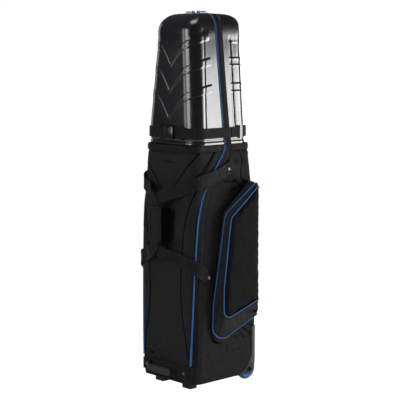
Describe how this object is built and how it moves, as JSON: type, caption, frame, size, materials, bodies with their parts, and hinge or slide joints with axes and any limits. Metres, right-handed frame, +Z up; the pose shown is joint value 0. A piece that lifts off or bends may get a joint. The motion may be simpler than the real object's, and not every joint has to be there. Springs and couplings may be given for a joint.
{
  "type": "golf travel case",
  "caption": "Upright wheeled golf travel case: zip-open padded fabric body with shoe pockets, carry loops and a ribbed base handle, under a hard glossy top with a buckled strap.",
  "frame": {"origin": "on the floor, under the middle of the case's body", "axes": "+Z up the case, -Y out of the front door, +Y out of the flat back with the wheels, +X out of the side with the flatter pocket"},
  "size_m": [0.4182, 0.383, 1.325],
  "materials": {
    "body_fabric": "woven polyester, matte",
    "shell": "glossy fine-grained ABS",
    "webbing": "ribbed nylon webbing",
    "piping": "smooth satin cord edging",
    "moulded": "fine satin texture",
    "grip": "ribbed, matte",
    "steel": "satin",
    "zip": "woven tape with a moulded coil",
    "lining": "brushed tricot over foam",
    "tyre": "soft matte tread",
    "hub": "satin"
  },
  "bodies": {
    "case_back": {"rear_shell": "shell", "back_panel": "body_fabric", "side_panel_right": "body_fabric", "side_panel_left": "body_fabric", "rear_hem": "webbing", "base_board": "moulded", "base_front_strip": "body_fabric", "kick_plate": "moulded", "wheel_housing_right": "moulded", "wheel_housing_left": "moulded", "axles": "steel", "feet": "moulded", "base_screws": "steel", "rear_zip_tape": "zip", "back_board": "moulded", "back_padding": "lining", "base_padding": "lining", "inner_straps": "webbing", "inner_buckles": "moulded", "pocket_gusset_right": "body_fabric", "pocket_gusset_left": "body_fabric", "pocket_seam_piping": "piping", "strap_rear": "webbing", "strap_keepers": "moulded", "handle_rivets": "steel", "grab_rivets": "steel"},
    "front_door": {"front_shell": "shell", "front_panel": "body_fabric", "front_hem": "webbing", "door_piping": "piping", "front_zip_tape": "zip", "door_padding": "lining"},
    "wheel_right": {"tyre_right": "tyre", "hub_right": "hub", "bearings_right": "steel"},
    "wheel_left": {"tyre_left": "tyre", "hub_left": "hub", "bearings_left": "steel"},
    "strap_right_half": {"strap_right": "webbing", "strap_slide": "moulded"},
    "buckle_plug": {"buckle_male": "moulded"},
    "strap_left_half": {"strap_left": "webbing", "buckle_female": "moulded"},
    "carry_loop_right": {"loop_right": "webbing", "handle_wrap": "body_fabric"},
    "carry_loop_left": {"loop_left": "webbing"},
    "grab_handle": {"grab_webbing": "webbing", "grab_grip": "grip"},
    "main_zip_slider_right": {"main_slider_right": "steel"},
    "main_zip_pull_right": {"main_pull_right": "steel"},
    "main_zip_slider_left": {"main_slider_left": "steel"},
    "main_zip_pull_left": {"main_pull_left": "steel"},
    "flap_right": {"pocket_flap_right": "body_fabric", "flap_piping_right": "piping"},
    "flap_left": {"pocket_flap_left": "body_fabric", "flap_piping_left": "piping"},
    "pocket_zip_slider_right": {"pocket_slider_right": "steel"},
    "pocket_zip_pull_right": {"pocket_pull_right": "steel"},
    "pocket_zip_slider_left": {"pocket_slider_left": "steel"},
    "pocket_zip_pull_left": {"pocket_pull_left": "steel"}
  },
  "joints": [
    {"name": "front_door_open", "type": "hinge", "parent": "case_back", "child": "front_door", "pos_m": [0, -0.159, 0.092], "axis": [1, 0, 0], "range_deg": [0, 92], "deforming": ["loop_right", "handle_wrap", "loop_left", "strap_right", "strap_slide", "strap_left", "buckle_male", "buckle_female"]},
    {"name": "wheel_right_spin", "type": "hinge", "parent": "case_back", "child": "wheel_right", "pos_m": [0.124, 0.119, 0.04], "axis": [1, 0, 0], "continuous": true},
    {"name": "wheel_left_spin", "type": "hinge", "parent": "case_back", "child": "wheel_left", "pos_m": [-0.124, 0.119, 0.04], "axis": [1, 0, 0], "continuous": true},
    {"name": "strap_right_swing", "type": "hinge", "parent": "case_back", "child": "strap_right_half", "pos_m": [0.1345, 0.03, 0.903], "axis": [0, 0, 1], "range_deg": [0, 110], "deforming": ["strap_right", "buckle_male"]},
    {"name": "strap_left_swing", "type": "hinge", "parent": "case_back", "child": "strap_left_half", "pos_m": [-0.1345, 0.03, 0.903], "axis": [0, 0, -1], "range_deg": [0, 110], "deforming": ["strap_left", "buckle_female"]},
    {"name": "buckle_release", "type": "slide", "parent": "strap_right_half", "child": "buckle_plug", "axis": [1, 0, 0], "range_m": [0, 0.032], "deforming": ["strap_right"]},
    {"name": "carry_loop_right_swing", "type": "hinge", "parent": "case_back", "child": "carry_loop_right", "pos_m": [0.1466, -0.09, 0.403], "axis": [-0.0233, 0.2716, 0.9621], "range_deg": [0, 100], "deforming": ["loop_right"]},
    {"name": "carry_loop_left_swing", "type": "hinge", "parent": "case_back", "child": "carry_loop_left", "pos_m": [-0.1466, -0.1065, 0.403], "axis": [-0.023, -0.3104, -0.9503], "range_deg": [0, 100], "deforming": ["loop_left"]},
    {"name": "grab_handle_swing", "type": "hinge", "parent": "case_back", "child": "grab_handle", "pos_m": [0, -0.161, 0.064], "axis": [1, 0, 0], "range_deg": [-50, 50], "deforming": ["grab_webbing"]},
    {"name": "main_zip_slider_right_slide", "type": "slide", "parent": "case_back", "child": "main_zip_slider_right", "axis": [1, 0, 0], "range_m": [0, 0.045]},
    {"name": "main_zip_pull_right_flip", "type": "hinge", "parent": "main_zip_slider_right", "child": "main_zip_pull_right", "pos_m": [0.0002, 0.006, 1.321], "axis": [0, -1, 0], "range_deg": [0, 90]},
    {"name": "main_zip_slider_left_slide", "type": "slide", "parent": "case_back", "child": "main_zip_slider_left", "axis": [-1, 0, 0], "range_m": [0, 0.018]},
    {"name": "main_zip_pull_left_flip", "type": "hinge", "parent": "main_zip_slider_left", "child": "main_zip_pull_left", "pos_m": [-0.0402, 0.006, 1.321], "axis": [0, 1, 0], "range_deg": [0, 90]},
    {"name": "flap_right_open", "type": "hinge", "parent": "case_back", "child": "flap_right", "pos_m": [0.2, 0.1115, 0.5], "axis": [0, 0, 1], "range_deg": [0, 75]},
    {"name": "flap_left_open", "type": "hinge", "parent": "case_back", "child": "flap_left", "pos_m": [-0.217, 0.0755, 0.5], "axis": [0, 0, -1], "range_deg": [0, 75]},
    {"name": "pocket_zip_slider_right_slide", "type": "slide", "parent": "case_back", "child": "pocket_zip_slider_right", "axis": [-0.1157, -0.9147, -0.3873], "range_m": [0, 0.098]},
    {"name": "pocket_zip_pull_right_flip", "type": "hinge", "parent": "pocket_zip_slider_right", "child": "pocket_zip_pull_right", "pos_m": [0.20173, 0.088, 0.264], "axis": [0, -1, 0], "range_deg": [0, 150]},
    {"name": "pocket_zip_slider_left_slide", "type": "slide", "parent": "case_back", "child": "pocket_zip_slider_left", "axis": [0.1157, -0.9147, -0.3873], "range_m": [0, 0.098]},
    {"name": "pocket_zip_pull_left_flip", "type": "hinge", "parent": "pocket_zip_slider_left", "child": "pocket_zip_pull_left", "pos_m": [-0.21273, 0.052, 0.264], "axis": [0, 1, 0], "range_deg": [0, 150]}
  ]
}
